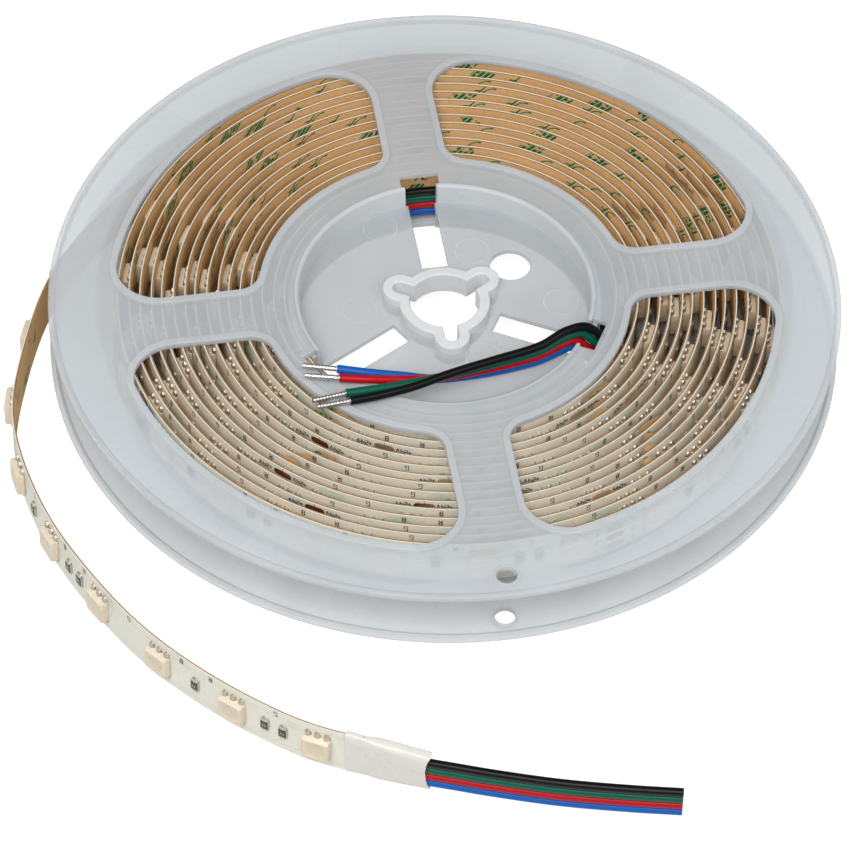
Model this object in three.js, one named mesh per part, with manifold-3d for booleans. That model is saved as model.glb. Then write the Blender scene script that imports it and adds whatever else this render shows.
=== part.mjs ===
import * as THREE from "three";
import { mergeVertices } from "three/addons/utils/BufferGeometryUtils.js";
import Module from "manifold-3d";

const wasm = await Module();
wasm.setup();

// Millimetres and degrees. While it is built, the reel's axis is Z and its underside is z = 0.

// Circuit strip, which stands on edge between the flanges
const stripWidth = 10;
const stripThickness = 0.45;
const stripSideClearance = 0.05;
const ledPitch = 16.667;
const ledsPerSection = 6;
const ledWidth = 5;
const ledHeight = 1.5;
const ledLensRadius = 2;
const ledLensDepth = 0.15;
const ledChamfer = 0.35;
const solderGap = 0.1;
const resistorLength = 2;
const resistorWidth = 1.25;
const resistorHeight = 0.55;
const resistorPairSpacing = 3.6;

// Reel halves
const flangeRadius = 73.6;
const webThickness = 1.1;
const lipHeight = 0.2;
const rimWidth = 1.3;
const rimRound = 0.35;
const spokeCount = 4;
const spokeAngle = 10.2;
const spokeWidth = 11.9;
const hubBandWidth = 5.65;
const rimBandWidth = 12.1;
const windowInnerFillet = 4.6;
const windowOuterFillet = 8;
const windowLipWidth = 1.4;
const labelMargin = 3.5;
const labelDepth = 0.15;
const labelLandAngle = 12;
const rimHoleAngle = -79.8;
const rimHoleRadius = 1.9;
const rimHoleInset = 4.8;
const rimHoleLipWidth = 0.5;

// Hub of the upper half, which plugs into the drum of the lower half
const recessRadius = 26.7;
const recessDraft = 0.4;
const recessRound = 0.5;
const recessDepth = 4.1;
const hubWall = 1.2;
const floorThickness = 1.2;
const boreRadius = 6.5;
const keywayCount = 3;
const keywayAngle = 40;
const keywayWidth = 2.7;
const keywayDepth = 3.7;
const collarWall = 2;
const collarRise = 1.8;
const collarDrop = 1.7;
const slotAngle = 100.6;
const slotCount = 3;
const slotWidth = 5;
const wallSlotWidth = 6;
const slotLand = 1.7;
const notchWidth = 7.3;
const notchDepth = 2.75;
const floorHoleAngle = 42.5;
const floorHoleLand = 0.45;
const floorHoleRadius = 3.85;
const plugClearance = 0.15;
const drumWall = 1;

// Winding: a spiral whose centre drifts, because the inner leads lift one side of it
const windingClearance = 0.75;
const windingSlack = 0.1;
const windingStartAngle = 140;
const windingEndAngle = 150;
const windingTurns = 16;
const windingShiftInner = [0.55, 0.95];
const windingShiftOuter = [0.3, 1.65];
const stepsPerTurn = 32;
const leaveAngle = 12;

// Loose end of the strip: plan points of its inner face, outside the winding, and its settling
const tailRoute = [
  [-62.6, 22.4],
  [-69.2, 11.9],
  [-74.1, 0],
  [-77.2, -17.5],
  [-77.8, -29.8],
  [-75.6, -40.8],
  [-69.7, -55],
  [-62.6, -66.2],
  [-52.8, -78.3],
  [-43.4, -86.8],
  [-31.2, -95.1],
  [-20, -100.6],
  [-0.3, -105.4],
];
const tailStep = 6;
const shortestStep = 0.5;
const restClearance = 0.05;
const looseLeds = 9;

// Heat-shrink sleeves over the soldered ends
const sleeveLength = 15.1;
const sleeveWall = 0.3;
const sleeveClearance = 0.15;
const sleeveCorner = 0.35;
const sleeveGrip = 3.3;

// Leads
const wireDiameter = 1.6;
const wirePitch = 1.75;
const wireSides = 8;
const wireStep = 4.6;
const cordGap = 0.3;
const coreDiameter = 0.9;
const grooveClearance = 0.6;
const grooveHeight = 5.2;
const grooveRise = 1.7;
const groovePoints = 9;
const grooveStartAngle = 136.6;
const grooveEndAngle = 3;

// Centre line of the outer leads: x, y and the lowest wire's height
const outerRoute = [
  [-11, -102.95, 1.6],
  [-6, -104.15, 1.6],
  [-0.3, -105.4, 1.6],
  [4, -106.1, 1.5],
  [10, -106.95, 1.2],
  [22, -108.4, 0.85],
  [34, -109.3, 0.82],
  [43.2, -109.7, 0.82],
];

// Centre line of the inner leads past the groove: x, y, z, lean of the stack and gap between its pairs
const hubRoute = [
  [29.8, -4.2, 7.4, 0, 0],
  [29.2, -8.1, 7.1, 0, 0],
  [27.4, -9.3, 9, 0, 0],
  [25, -9.6, 11.6, 0, 0],
  [22.3, -11.3, 12.4, 4, 0],
  [17.7, -14.4, 12.1, 12, 0],
  [9.6, -17.65, 12, 18, 0],
  [3.5, -19.65, 11.95, 28, 0],
  [-0.5, -21.1, 12.2, 38, 0],
  [-6.7, -23, 12.9, 66, 0.2],
  [-12.9, -24.4, 13.5, 86, 0.9],
];

// Each lead with the end of its inner insulation and of its tinned tip
const wires = [
  { name: "blue", colour: 0x1247a8, cutEnd: [-19.3, -20.9], tipEnd: [-25.3, -20.3] },
  { name: "red", colour: 0xd0141c, cutEnd: [-18.8, -23.1], tipEnd: [-24.8, -22.7] },
  { name: "green", colour: 0x0c6b4c, cutEnd: [-17.5, -26.8], tipEnd: [-23.3, -28.7] },
  { name: "black", colour: 0x17120f, cutEnd: [-16.6, -28.6], tipEnd: [-22.7, -30.3] },
];

// Facets: sides of the round parts, degrees between the points of an arc, and how far a cutter runs past
const reelSides = 64;
const wideArcStep = 8;
const filletStep = 20;
const boreStep = 12;
const keywayStep = 30;
const cornerStep = 45;
const rimHoleSides = 14;
const floorHoleSides = 24;
const lensSides = 16;
const tipSides = 6;
const overrun = 1;

// Heights and radii worked out from the sizes above
const flangeThickness = webThickness + lipHeight;
const flangeGap = stripWidth + 2 * stripSideClearance;
const reelHeight = 2 * flangeThickness + flangeGap;
const stripBottom = flangeThickness + stripSideClearance;
const upperWebBottom = flangeThickness + flangeGap;
const floorTop = reelHeight - lipHeight - recessDepth;
const plugRadius = recessRadius + hubWall;
const drumInnerRadius = plugRadius + plugClearance;
const drumRadius = drumInnerRadius + drumWall;
const windowInnerRadius = drumRadius + hubBandWidth;
const windowOuterRadius = flangeRadius - rimBandWidth;
const labelInnerRadius = windowOuterRadius + labelMargin;
const keywayTipRadius = boreRadius + keywayDepth;
const slotInnerRadius = boreRadius + collarWall + slotLand;
const notchRadius = plugRadius + notchDepth;
const floorHoleOrbit = keywayTipRadius + collarWall + floorHoleLand + floorHoleRadius;
const windingPitch = stripThickness + ledHeight + windingSlack;
const windingRadius = drumRadius + windingClearance;
const tailRestHeight = sleeveWall + sleeveClearance + restClearance;
const grooveRadius = drumRadius + grooveClearance + wireDiameter / 2;
const webTop = reelHeight - lipHeight;
const cutHeight = webTop + cordGap + wireDiameter / 2;

const upperMaterial = new THREE.MeshStandardMaterial({ color: 0xc9d3d8, roughness: 0.35 });
const lowerMaterial = new THREE.MeshStandardMaterial({ color: 0xc3cdd2, roughness: 0.35 });
const stripMaterial = new THREE.MeshStandardMaterial({ color: 0xe4e4d8, roughness: 0.5 });
const ledMaterial = new THREE.MeshStandardMaterial({ color: 0xf3e9d8, roughness: 0.4 });
const resistorMaterial = new THREE.MeshStandardMaterial({ color: 0x2a2420, roughness: 0.45 });
const sleeveMaterial = new THREE.MeshStandardMaterial({ color: 0xefede6, roughness: 0.4 });
const tinMaterial = new THREE.MeshStandardMaterial({ color: 0xc8c8c4, roughness: 0.3, metalness: 0.9 });

const rad = THREE.MathUtils.degToRad;
const polar = (radius, angle) => [radius * Math.cos(rad(angle)), radius * Math.sin(rad(angle))];

// Points of an arc, ends included, with steps no wider than the given angle
function arc(centre, radius, from, to, step) {
  const count = Math.max(1, Math.ceil(Math.abs(to - from) / step - 1e-6));
  const points = [];
  for (let i = 0; i <= count; i++) {
    const [x, y] = polar(radius, from + ((to - from) * i) / count);
    points.push([centre[0] + x, centre[1] + y]);
  }
  return points;
}

const circle = (centre, radius, count) => arc(centre, radius, 0, 360, 360 / count).slice(0, -1);
const turned = (points, angle) => {
  const [c, s] = polar(1, angle);
  return points.map(([x, y]) => [x * c - y * s, x * s + y * c]);
};
const path = (points) => points.map(([x, y]) => new THREE.Vector2(x, y));

// A flat outline with holes, drawn up from one height to another
function prism(outline, holes, from, to) {
  const shape = new THREE.Shape(path(outline));
  for (const hole of holes) shape.holes.push(new THREE.Path(path(hole)));
  const geometry = new THREE.ExtrudeGeometry(shape, { depth: to - from, bevelEnabled: false });
  return geometry.translate(0, 0, from);
}

// A closed radius and height profile, anticlockwise, revolved about Z
function revolve(profile) {
  const closed = [...profile, profile[0]];
  return new THREE.LatheGeometry(path(closed), reelSides).rotateX(Math.PI / 2);
}

function solid(geometry) {
  const bare = new THREE.BufferGeometry();
  bare.setAttribute("position", geometry.getAttribute("position"));
  bare.setIndex(geometry.index);
  const merged = mergeVertices(bare, 1e-4);
  const vertProperties = new Float32Array(merged.attributes.position.array);
  const triVerts = new Uint32Array(merged.index.array);
  return new wasm.Manifold(new wasm.Mesh({ numProp: 3, vertProperties, triVerts }));
}

function geometryOf(manifold) {
  const mesh = manifold.getMesh();
  const geometry = new THREE.BufferGeometry();
  geometry.setAttribute("position", new THREE.BufferAttribute(mesh.vertProperties, 3));
  geometry.setIndex(new THREE.BufferAttribute(mesh.triVerts, 1));
  geometry.computeVertexNormals();
  return geometry;
}

const join = (geometries) => geometries.map(solid).reduce((sum, next) => sum.add(next));
const cut = (body, geometries) => geometries.map(solid).reduce((rest, tool) => rest.subtract(tool), body);

function mesh(name, geometry, material) {
  const made = new THREE.Mesh(geometry, material);
  made.name = name;
  return made;
}

// Sections carried along stations; an inner section makes a tube that is open at both ends
function sweep(stations, outer, inner) {
  const rings = inner ? [outer, inner] : [outer];
  const size = outer.length;
  const positions = [];
  for (const { at, out } of stations) {
    for (const ring of rings) {
      for (const [u, v] of ring) positions.push(at[0] + u * out[0], at[1] + u * out[1], at[2] + v);
    }
  }
  const stride = size * rings.length;
  const faces = [];
  const quad = (a, b, c, d) => faces.push(a, b, c, a, c, d);
  for (let s = 0; s < stations.length - 1; s++) {
    for (let i = 0; i < size; i++) {
      const a = s * stride + i;
      const b = s * stride + ((i + 1) % size);
      quad(a, b, b + stride, a + stride);
      if (inner) quad(b + size, a + size, a + size + stride, b + size + stride);
    }
  }
  const last = (stations.length - 1) * stride;
  if (inner) {
    for (let i = 0; i < size; i++) {
      const next = (i + 1) % size;
      quad(next, i, i + size, next + size);
      quad(last + i, last + next, last + next + size, last + i + size);
    }
  } else {
    for (let i = 1; i < size - 1; i++) faces.push(i + 1, i, 0, last, last + i, last + i + 1);
  }
  const geometry = new THREE.BufferGeometry();
  geometry.setAttribute("position", new THREE.Float32BufferAttribute(positions, 3));
  geometry.setIndex(faces);
  geometry.computeVertexNormals();
  return geometry;
}

// One window between two spokes, in the frame of the first spoke, grown by an offset for its lip
function windowOutline(grow) {
  const side = spokeWidth / 2 - grow;
  const inner = windowInnerRadius - grow;
  const outer = windowOuterRadius + grow;
  const small = windowInnerFillet + grow;
  const large = windowOuterFillet + grow;
  const outerCentre = [Math.sqrt((outer - large) ** 2 - (side + large) ** 2), side + large];
  const innerCentre = [Math.sqrt((inner + small) ** 2 - (side + small) ** 2), side + small];
  const outerAngle = THREE.MathUtils.radToDeg(Math.atan2(outerCentre[1], outerCentre[0]));
  const innerAngle = THREE.MathUtils.radToDeg(Math.atan2(innerCentre[1], innerCentre[0]));
  const middle = 180 / spokeCount;
  const half = [
    ...arc([0, 0], inner, middle, innerAngle, wideArcStep).slice(0, -1),
    ...arc(innerCentre, small, innerAngle + 180, 270, filletStep),
    ...arc(outerCentre, large, -90, outerAngle, filletStep),
    ...arc([0, 0], outer, outerAngle, middle, wideArcStep).slice(1),
  ];
  const mirrored = half.slice(1, -1).map(([x, y]) => [y, x]).reverse();
  return [...half, ...mirrored];
}

const spokeAngles = Array.from({ length: spokeCount }, (_, k) => spokeAngle + (360 / spokeCount) * k);
const rimHoleCentre = polar(flangeRadius - rimHoleInset, rimHoleAngle);
const rimHole = (grow) => circle(rimHoleCentre, rimHoleRadius + grow, rimHoleSides);

// Shallow field between the outer edge of the windows and the rim, one for each window
function labelFields(from, to) {
  const half = (360 / spokeCount - labelLandAngle) / 2;
  return spokeAngles.map((angle) => {
    const outer = arc([0, 0], flangeRadius - rimWidth / 2, angle - half, angle + half, wideArcStep);
    const inner = arc([0, 0], labelInnerRadius, angle + half, angle - half, wideArcStep);
    return prism([...outer, ...inner], [], from, to);
  });
}

// A flange lying on z = 0 with its plain face up: web, rim bead, lips round the openings, label fields
function flange(openingRadius) {
  const windows = spokeAngles.map((angle) => turned(windowOutline(0), angle));
  const web = prism(
    circle([0, 0], flangeRadius - rimWidth / 2, reelSides),
    [circle([0, 0], openingRadius, reelSides), rimHole(0), ...windows],
    lipHeight,
    flangeThickness,
  );
  const rim = revolve([
    [flangeRadius - rimWidth, 0],
    [flangeRadius - rimRound, 0],
    [flangeRadius, rimRound],
    [flangeRadius, flangeThickness - rimRound],
    [flangeRadius - rimRound, flangeThickness],
    [flangeRadius - rimWidth, flangeThickness],
  ]);
  const overlap = lipHeight + webThickness / 2;
  const lips = spokeAngles.map((angle, k) =>
    prism(turned(windowOutline(windowLipWidth), angle), [windows[k]], 0, overlap),
  );
  lips.push(prism(rimHole(rimHoleLipWidth), [rimHole(0)], 0, overlap));
  const sunken = cut(solid(web), labelFields(0, lipHeight + labelDepth));
  return sunken.add(join([rim, ...lips]));
}

const slotAngles = Array.from({ length: slotCount }, (_, k) => slotAngle + (360 / slotCount) * k);

// Radial bars that cut the slots, from one radius to another
function slotBars(width, innerRadius, outerRadius, from, to) {
  const half = width / 2;
  const bar = [
    [innerRadius, -half],
    [outerRadius, -half],
    [outerRadius, half],
    [innerRadius, half],
  ];
  return slotAngles.map((angle) => prism(turned(bar, angle), [], from, to));
}

// The bore with its keyways, or the collar round them when grown by its wall
function keyedOutline(grow) {
  const radius = boreRadius + grow;
  const half = keywayWidth / 2 + grow;
  const tip = keywayTipRadius - keywayWidth / 2;
  const mouth = THREE.MathUtils.radToDeg(Math.asin(half / radius));
  const pitch = 360 / keywayCount;
  const points = [];
  for (let k = 0; k < keywayCount; k++) {
    const angle = keywayAngle + pitch * k;
    points.push(...arc(polar(tip, angle), half, angle - 90, angle + 90, keywayStep));
    points.push(...arc([0, 0], radius, angle + mouth, angle + pitch - mouth, boreStep));
  }
  return points;
}

function upperHalf() {
  const floorBottom = floorTop - floorThickness;
  const mouthRadius = recessRadius + recessDraft;
  const plate = flange(plugRadius - hubWall / 2).mirror([0, 0, 1]).translate([0, 0, reelHeight]);
  const mouthEdge = [mouthRadius + recessRound, webTop - recessRound];
  const mouthRound = arc(mouthEdge, recessRound, 90, 180, cornerStep);
  const cup = revolve([
    [recessRadius, floorBottom],
    [plugRadius, floorBottom],
    [plugRadius, webTop],
    ...mouthRound,
    [recessRadius, floorTop],
  ]);
  const floorHoleCentre = polar(floorHoleOrbit, floorHoleAngle);
  const floorPlate = prism(
    circle([0, 0], recessRadius + hubWall / 2, reelSides),
    [keyedOutline(0), circle(floorHoleCentre, floorHoleRadius, floorHoleSides)],
    floorBottom,
    floorTop,
  );
  const collar = prism(
    keyedOutline(collarWall),
    [keyedOutline(0)],
    floorBottom - collarDrop,
    floorTop + collarRise,
  );
  const body = [cup, floorPlate, collar].map(solid).reduce((sum, next) => sum.add(next), plate);
  const wallMiddle = recessRadius + hubWall / 2;
  const [below, above] = [floorBottom - overrun, webTop + overrun];
  return cut(body, [
    ...slotBars(slotWidth, slotInnerRadius, wallMiddle, below, floorTop + overrun),
    ...slotBars(wallSlotWidth, recessRadius - overrun, plugRadius + overrun, below, above),
    ...slotBars(notchWidth, wallMiddle, notchRadius, upperWebBottom - overrun, above),
  ]);
}

function lowerHalf() {
  const drumTop = upperWebBottom - plugClearance;
  const drum = revolve([
    [drumInnerRadius, lipHeight],
    [drumRadius, lipHeight],
    [drumRadius, drumTop],
    [drumInnerRadius, drumTop],
  ]);
  const [inside, outside] = [drumInnerRadius - overrun, drumRadius + overrun];
  const slots = slotBars(wallSlotWidth, inside, outside, flangeThickness, drumTop + overrun);
  return cut(flange(drumInnerRadius + drumWall / 2).add(solid(drum)), slots);
}

// Plan point of the strip's inner face at an angle past the winding's start
function windingPoint(angle) {
  const share = angle / (360 * windingTurns);
  const [x, y] = polar(windingRadius + (windingPitch * angle) / 360, windingStartAngle + angle);
  const drift = [0, 1].map((i) => THREE.MathUtils.lerp(windingShiftInner[i], windingShiftOuter[i], share));
  return [x + drift[0], y + drift[1]];
}

const windingAngle = 360 * windingTurns + windingEndAngle - windingStartAngle;

// The strip's inner face as stations: wound part first, then the loose end, which settles on one edge
function stripStations() {
  const plan = [];
  const turnSteps = Math.round((windingAngle / 360) * stepsPerTurn);
  for (let i = 0; i <= turnSteps; i++) plan.push(windingPoint((windingAngle * i) / turnSteps));
  const lead = [windingPoint(windingAngle - leaveAngle), windingPoint(windingAngle)];
  const knots = [...lead, ...tailRoute].map(([x, y]) => new THREE.Vector3(x, y, 0));
  const curve = new THREE.CatmullRomCurve3(knots, false, "centripetal");
  const leadLength = knots[0].distanceTo(knots[1]);
  const steps = Math.round(curve.getLength() / tailStep);
  for (let i = 1; i <= steps; i++) {
    const point = curve.getPointAt(i / steps);
    if (point.distanceTo(knots[0]) > leadLength + tailStep / 2) plan.push([point.x, point.y]);
  }
  const run = [0];
  for (let i = 1; i < plan.length; i++) {
    run.push(run[i - 1] + Math.hypot(plan[i][0] - plan[i - 1][0], plan[i][1] - plan[i - 1][1]));
  }
  const offFlange = run[plan.findIndex(([x, y]) => Math.hypot(x, y) > flangeRadius + stripThickness)];
  const tailLength = run[run.length - 1] - offFlange;
  return plan.map((point, i) => {
    const before = plan[Math.max(0, i - 1)];
    const after = plan[Math.min(plan.length - 1, i + 1)];
    const length = Math.hypot(after[0] - before[0], after[1] - before[1]);
    const out = [(after[1] - before[1]) / length, (before[0] - after[0]) / length];
    const settled = Math.max(0, (run[i] - offFlange) / tailLength);
    const height = THREE.MathUtils.lerp(stripBottom, tailRestHeight, settled);
    return { at: [point[0], point[1], height], out, run: run[i] };
  });
}

const stations = stripStations();
const routeLength = stations[stations.length - 1].run;
const sleeveStart = routeLength - sleeveLength;
const stripLength = sleeveStart + sleeveGrip;

// Station at any length along the strip, between the two that hold it
function stationAt(run) {
  const next = Math.max(1, stations.findIndex((station) => station.run >= run));
  const [a, b] = [stations[next - 1], stations[next]];
  const share = (run - a.run) / (b.run - a.run);
  const mix = (p, q) => p.map((value, i) => THREE.MathUtils.lerp(value, q[i], share));
  const out = mix(a.out, b.out);
  const size = Math.hypot(...out);
  return { at: mix(a.at, b.at), out: [out[0] / size, out[1] / size], run };
}

const stretch = (from, to) => [
  stationAt(from),
  ...stations.filter(({ run }) => run > from + shortestStep && run < to - shortestStep),
  stationAt(to),
];

const rectangle = (u0, u1, v0, v1) => [
  [u0, v0],
  [u0, v1],
  [u1, v1],
  [u1, v0],
];

const stripSection = rectangle(0, stripThickness, 0, stripWidth);

// Matrix that sets a piece on the strip's outer face, its own Z outwards and its own Y up
function seatOn(run, rise) {
  const { at, out } = stationAt(run);
  const outward = new THREE.Vector3(out[0], out[1], 0);
  const up = new THREE.Vector3(0, 0, 1);
  const along = new THREE.Vector3().crossVectors(up, outward);
  const foot = new THREE.Vector3(at[0], at[1], at[2] + stripWidth / 2);
  foot.addScaledVector(outward, stripThickness + rise);
  return new THREE.Matrix4().makeBasis(along, up, outward).setPosition(foot);
}

function place(made, matrix) {
  made.applyMatrix4(matrix);
  return made;
}

// The wound strip with its LEDs, which follow the curve and are fused to it, as one solid
function stripGeometry() {
  const middle = stripWidth / 2;
  const root = stripThickness / 2;
  const crest = stripThickness + ledHeight;
  const section = rectangle(root, crest, middle - ledWidth / 2, middle + ledWidth / 2);
  const bodies = [sweep(stretch(0, stripLength), stripSection)];
  const count = Math.floor(stripLength / ledPitch);
  for (let i = looseLeds; i < count; i++) {
    bodies.push(sweep(stretch(ledRun(i) - ledWidth / 2, ledRun(i) + ledWidth / 2), section));
  }
  return geometryOf(wasm.Manifold.union(bodies.map(solid)));
}

// LED package: a square body, chamfered along its upper edges, with a round dish for the lens
function ledGeometry() {
  const half = ledWidth / 2;
  const top = half - ledChamfer;
  const base = prism(rectangle(-half, half, -half, half), [], 0, ledHeight - ledChamfer);
  const crown = new THREE.CylinderGeometry(top * Math.SQRT2, half * Math.SQRT2, ledChamfer, 4, 1);
  crown.rotateX(Math.PI / 2).rotateZ(Math.PI / 4).translate(0, 0, ledHeight - ledChamfer / 2);
  const lens = circle([0, 0], ledLensRadius, lensSides);
  const dish = prism(lens, [], ledHeight - ledLensDepth, ledHeight + overrun);
  return geometryOf(cut(join([base, crown]), [dish]));
}

const resistorGeometry = () =>
  new THREE.BoxGeometry(resistorWidth, resistorLength, resistorHeight).translate(0, 0, resistorHeight / 2);

// Distance of an LED from the inner end; the first LED is half a pitch from the cut at the outer end
const ledRun = (index) => stripLength - ledPitch * (index + 0.5);

// The gaps of a section hold a pair of resistors, one, none, a pair, one, and the cutting line
function resistorRuns(gap) {
  const middle = ledRun(gap) - ledPitch / 2;
  const kind = (gap % ledsPerSection) % 3;
  const last = gap % ledsPerSection === ledsPerSection - 1;
  if (kind === 0) return [middle + resistorPairSpacing / 2, middle - resistorPairSpacing / 2];
  return kind === 1 && !last ? [middle] : [];
}

const sleeveSection = (grow, bottom, top) => {
  const u1 = wireDiameter / 2 + sleeveClearance + grow;
  const u0 = -u1;
  const [v0, v1] = [bottom - sleeveClearance - grow, top + sleeveClearance + grow];
  const r = sleeveCorner + grow;
  return [
    ...arc([u1 - r, v0 + r], r, 0, -90, cornerStep),
    ...arc([u0 + r, v0 + r], r, -90, -180, cornerStep),
    ...arc([u0 + r, v1 - r], r, 180, 90, cornerStep),
    ...arc([u1 - r, v1 - r], r, 90, 0, cornerStep),
  ];
};

const sleeveGeometry = (route) =>
  sweep(route, sleeveSection(sleeveWall, 0, stripWidth), sleeveSection(0, 0, stripWidth));

function tube(points, diameter, sides, step) {
  const curve = new THREE.CatmullRomCurve3(points, false, "centripetal");
  const steps = Math.max(1, Math.round(curve.getLength() / step));
  const shape = new THREE.Shape(path(circle([0, 0], diameter / 2, sides)));
  return new THREE.ExtrudeGeometry(shape, { steps, bevelEnabled: false, extrudePath: curve });
}

const stack = (index) => index - (wires.length - 1) / 2;

function outerLead(index) {
  const points = outerRoute.map(([x, y, z]) => new THREE.Vector3(x, y, z + index * wirePitch));
  return tube(points, wireDiameter, wireSides, wireStep);
}

// Centre points of one inner lead: round the drum in the groove, through the slot and over the hub
function innerLeadPoints(index) {
  const ribbon = [];
  for (let i = 0; i <= groovePoints; i++) {
    const share = i / groovePoints;
    const [x, y] = polar(grooveRadius, THREE.MathUtils.lerp(grooveStartAngle, grooveEndAngle, share));
    ribbon.push([x, y, grooveHeight + grooveRise * share ** 2, 0, 0]);
  }
  ribbon.push(...hubRoute);
  const points = ribbon.map(([x, y, z, lean, split], i) => {
    const [before, after] = [ribbon[Math.max(0, i - 1)], ribbon[Math.min(ribbon.length - 1, i + 1)]];
    const along = new THREE.Vector3(...after.slice(0, 3)).sub(new THREE.Vector3(...before.slice(0, 3)));
    const [up, side] = polar(1, lean);
    const across = new THREE.Vector3(0, -side, up).projectOnPlane(along.normalize()).normalize();
    const offset = stack(index) * wirePitch + (Math.sign(stack(index)) * split) / 2;
    return new THREE.Vector3(x, y, z).addScaledVector(across, offset);
  });
  points.push(new THREE.Vector3(...wires[index].cutEnd, cutHeight));
  return points;
}

// Tinned end of an inner lead, straight on from the insulation
function tinnedTip({ cutEnd, tipEnd }) {
  const start = new THREE.Vector3(...cutEnd, cutHeight);
  const stop = new THREE.Vector3(...tipEnd, cutHeight);
  start.addScaledVector(stop.clone().sub(start).normalize(), cordGap);
  return tube([start, stop], coreDiameter, tipSides, stop.distanceTo(start));
}

const reel = new THREE.Group();
reel.add(mesh("upper_reel_half", geometryOf(upperHalf()), upperMaterial));
reel.add(mesh("lower_reel_half", geometryOf(lowerHalf()), lowerMaterial));

const strip = new THREE.Group();
strip.add(mesh("led_strip", stripGeometry(), stripMaterial));
for (let i = 0; i < looseLeds; i++) {
  const led = mesh(`led_${i + 1}`, ledGeometry(), ledMaterial);
  strip.add(place(led, seatOn(ledRun(i), solderGap)));
}
let resistorNumber = 0;
for (let gap = 0; gap < looseLeds - 1; gap++) {
  for (const run of resistorRuns(gap)) {
    resistorNumber += 1;
    const resistor = mesh(`resistor_${resistorNumber}`, resistorGeometry(), resistorMaterial);
    strip.add(place(resistor, seatOn(run, solderGap)));
  }
}
strip.add(mesh("outer_sleeve", sleeveGeometry(stretch(sleeveStart, routeLength)), sleeveMaterial));

const leads = new THREE.Group();
wires.forEach((wire, index) => {
  const { name, colour } = wire;
  const insulation = new THREE.MeshStandardMaterial({ color: colour, roughness: 0.4 });
  leads.add(mesh(`outer_wire_${name}`, outerLead(index), insulation));
  leads.add(mesh(`inner_wire_${name}`, tube(innerLeadPoints(index), wireDiameter, wireSides, wireStep), insulation));
  leads.add(mesh(`inner_tip_${name}`, tinnedTip(wire), tinMaterial));
});

// The frame's origin is below the middle of everything but the leads, on the surface it rests on
const object = new THREE.Group();
const box = new THREE.Box3().setFromObject(reel).union(new THREE.Box3().setFromObject(strip));
const middle = box.getCenter(new THREE.Vector3());
object.position.set(-middle.x, -middle.y, -box.min.z);
object.add(reel, strip, leads);

export default new THREE.Group().add(object);
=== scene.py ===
import math
from functools import partialmethod

import bpy
import numpy as np
from mathutils import Matrix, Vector
from mathutils.geometry import tessellate_polygon


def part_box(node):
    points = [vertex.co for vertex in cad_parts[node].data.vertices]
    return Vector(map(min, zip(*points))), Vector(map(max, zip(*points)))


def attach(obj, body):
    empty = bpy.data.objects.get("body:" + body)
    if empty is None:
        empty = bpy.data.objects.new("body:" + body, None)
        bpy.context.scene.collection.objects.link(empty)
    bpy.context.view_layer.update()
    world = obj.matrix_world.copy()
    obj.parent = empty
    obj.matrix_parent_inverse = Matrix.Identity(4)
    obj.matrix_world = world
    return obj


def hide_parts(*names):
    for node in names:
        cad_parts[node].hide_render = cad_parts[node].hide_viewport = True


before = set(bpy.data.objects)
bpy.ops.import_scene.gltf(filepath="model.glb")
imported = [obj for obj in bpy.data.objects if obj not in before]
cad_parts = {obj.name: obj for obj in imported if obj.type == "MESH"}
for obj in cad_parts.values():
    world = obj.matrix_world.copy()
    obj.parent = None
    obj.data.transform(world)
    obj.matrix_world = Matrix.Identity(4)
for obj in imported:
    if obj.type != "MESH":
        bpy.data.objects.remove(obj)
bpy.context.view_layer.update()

# Sizes are in millimetres and angles in degrees, measured from the reel's axis and underside.
lowest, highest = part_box("lower_reel_half")
axisX, axisY = 500 * (lowest.x + highest.x), 500 * (lowest.y + highest.y)

CAMERA = {
    "focal": 4833.93, "pixels": 850, "sensor": 36, "place": (0, -609.515, 671.832),
    "turn": (-0.005174, 0.852313, -0.0214253), "farClip": 10,
}

# Each lamp has its name, place, two sides in metres and watts. The floor's own sizes are in metres.
LIGHT = {
    "sky": 0.24,
    "lamps": (
        ("key", (-180, -560, 860), (0.9, 0.7), 9.8),
        ("fill", (650, -350, 700), (0.6, 0.6), 2.4),
    ),
    "target": (0, 0, 5), "floorReach": 3, "floorDrop": 2e-4, "floorTone": 0.5,
    # Painted shade of the floor: its glow seen through the plastic fades towards the far side, and under the
    # roll it turns dark brown with little glow
    "floorGlow": 0.78, "throughPlastic": (0.6, 0.36), "farSideShade": (20, 75),
    "rollShadeRadii": (31, 62), "rollShadeTone": (0.10, 0.07, 0.045), "rollShadeGlow": 0.06,
}

REEL = {
    "radius": 73.6, "web": 1.1, "lip": 0.2, "rimWidth": 1.3, "gap": 10.1,
    "spokeAngle": 10.2, "spokeWidth": 11.9, "windowInner": 34.7, "windowOuter": 61.5,
    "filletInner": 4.6, "filletOuter": 8.0, "lipWidth": 1.4, "rimHole": (12.2, -67.7, 1.9),
    "labelInner": 65.0, "labelHalf": 39.0, "bandAlpha": 0.09, "bevel": 0.12,
    "lipFoot": 0.35, "lipBevel": 0.16, "holeLip": 0.5, "beadRound": (0.3, 0.09),
}

# Opacity of one surface, then the two tones between which the plastic drifts
# All are one milky plastic: edge, wall and collar are lighter copies as painted light, hub a darker copy as
# painted shade
PLASTIC = {
    "flange": (0.42, (0.755, 0.80, 0.835), (0.685, 0.73, 0.765)),
    "plain": (0.52, (0.755, 0.79, 0.815), (0.69, 0.72, 0.745)),
    "edge": (0.42, (0.79, 0.825, 0.85), (0.71, 0.745, 0.77)),
    "hub": (0.52, (0.62, 0.65, 0.675), (0.555, 0.585, 0.61)),
    "wall": (0.7, (0.77, 0.80, 0.82), (0.70, 0.73, 0.75)),
    "collar": (0.75, (0.90, 0.92, 0.93), (0.83, 0.85, 0.86)),
}

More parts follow.
